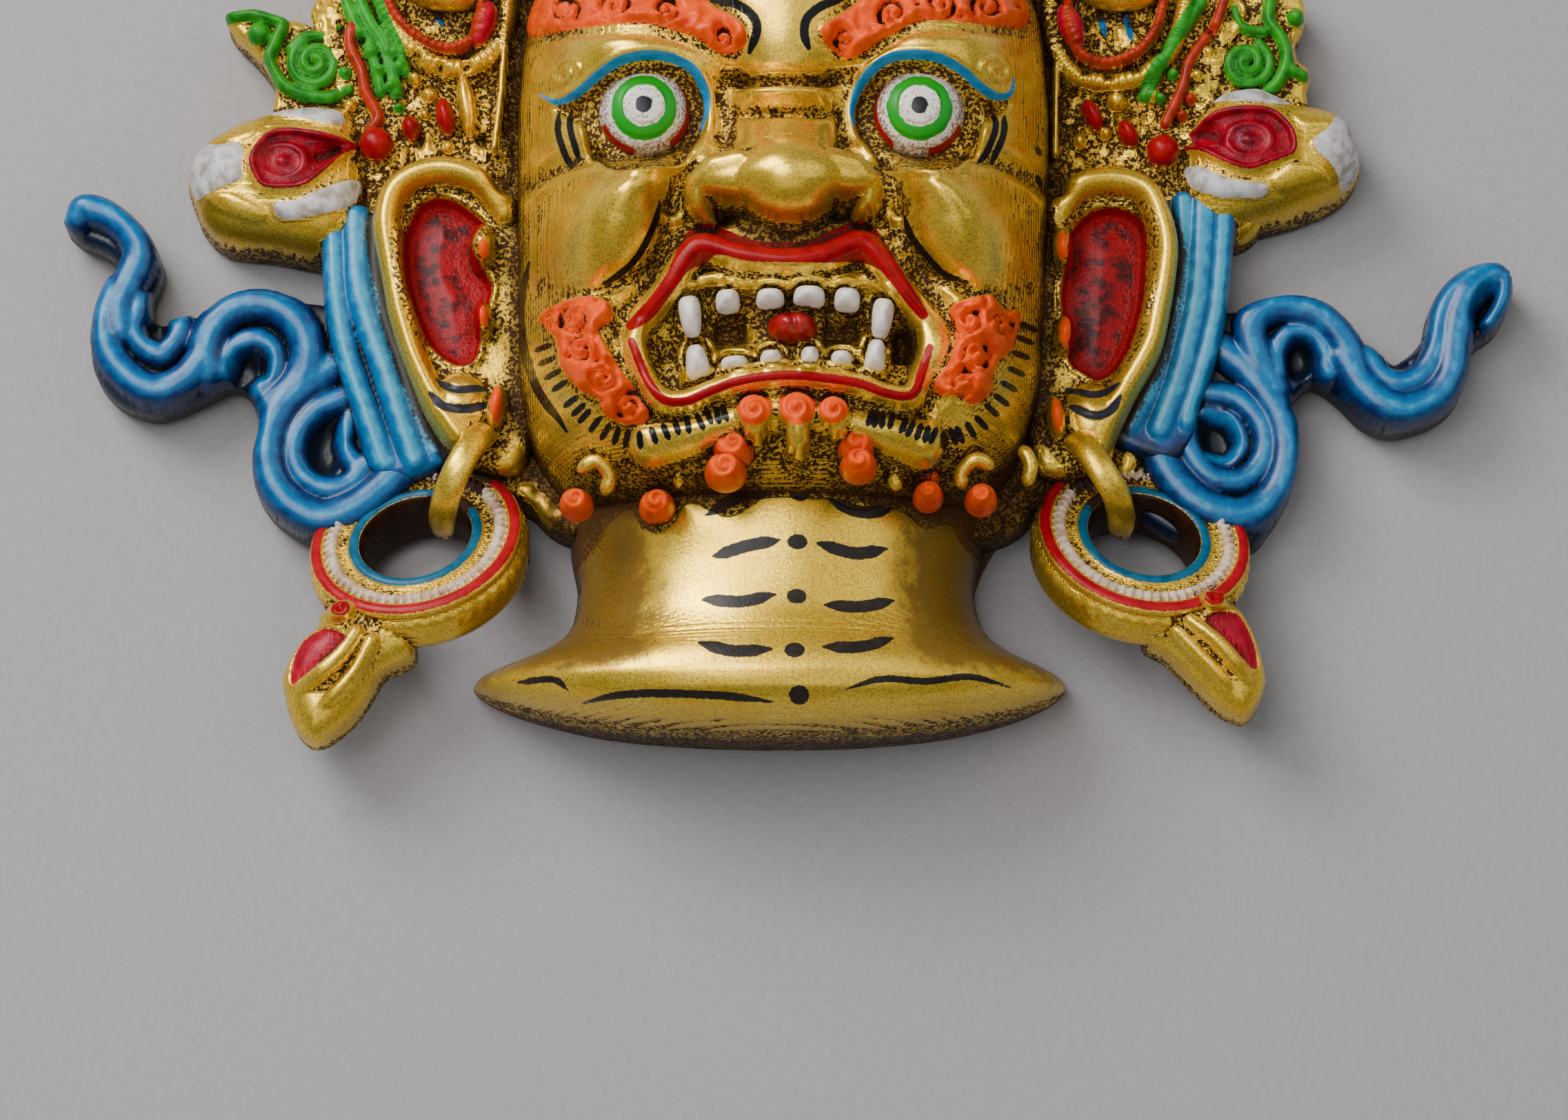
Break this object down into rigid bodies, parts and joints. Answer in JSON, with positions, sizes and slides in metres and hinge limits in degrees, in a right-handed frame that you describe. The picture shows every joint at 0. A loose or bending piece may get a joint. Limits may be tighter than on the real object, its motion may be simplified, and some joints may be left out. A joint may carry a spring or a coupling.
{
  "type": "wrathful deity wall mask",
  "caption": "Cast resin wall mask of a fierce deity in skull crown, with long ears, ring earrings and curling ribbons, painted antique gold and bright colours, hollow behind.",
  "frame": {"origin": "middle of the bounding box on the plane of the flat back rim", "axes": "+Z out of the face, up as it lies on its back; +Y towards the crown; +X to the viewer's right"},
  "size_m": [0.1994, 0.1646, 0.057],
  "materials": {
    "gold_paint": "antique metallic gold paint with enamel colours, over cast resin"
  },
  "bodies": {
    "root": {"mask": "gold_paint"}
  },
  "joints": []
}
